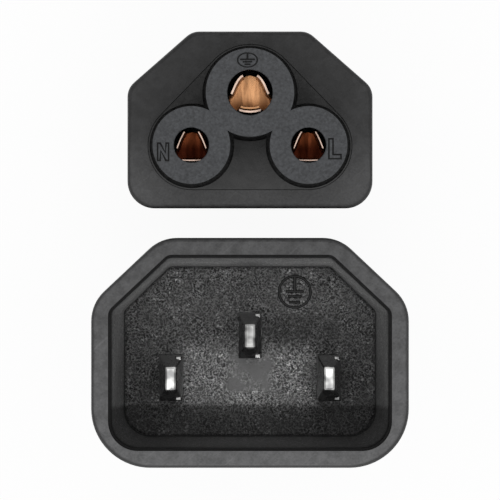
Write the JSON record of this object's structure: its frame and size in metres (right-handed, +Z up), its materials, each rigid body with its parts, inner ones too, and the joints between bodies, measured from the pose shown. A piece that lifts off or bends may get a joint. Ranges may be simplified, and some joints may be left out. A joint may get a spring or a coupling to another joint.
{
  "type": "iec power cord",
  "caption": "Moulded ends of a mains power cord, standing face up: a shrouded plug with blade pins in a hard insert and a cloverleaf connector with folded sleeve contacts.",
  "frame": {"origin": "centre of the pair's footprint, on the floor under the two cable ends", "axes": "+Z up, from the cable ends to the mating faces; +Y from the plug to the connector, which is up as the faces are looked at; +X to the right, across the line and neutral poles"},
  "size_m": [0.0278, 0.0384, 0.042],
  "materials": {
    "plug_overmould": "satin flexible moulding",
    "connector_overmould": "smooth flexible moulding",
    "insert": "spark-eroded hard moulding",
    "nose": "fine matte hard moulding",
    "locking_plate": "plain hard moulding",
    "pin": "bright nickel plate",
    "contact": "bright rolled bronze"
  },
  "bodies": {
    "root": {"plug_shell": "plug_overmould", "plug_insert": "insert", "plug_rear_cap": "locking_plate", "plug_line_pin": "pin", "plug_neutral_pin": "pin", "plug_earth_pin": "pin", "connector_shell": "connector_overmould", "connector_nose": "nose", "connector_rear_cap": "locking_plate", "connector_line_contact": "contact", "connector_neutral_contact": "contact", "connector_earth_contact": "contact"}
  },
  "joints": []
}
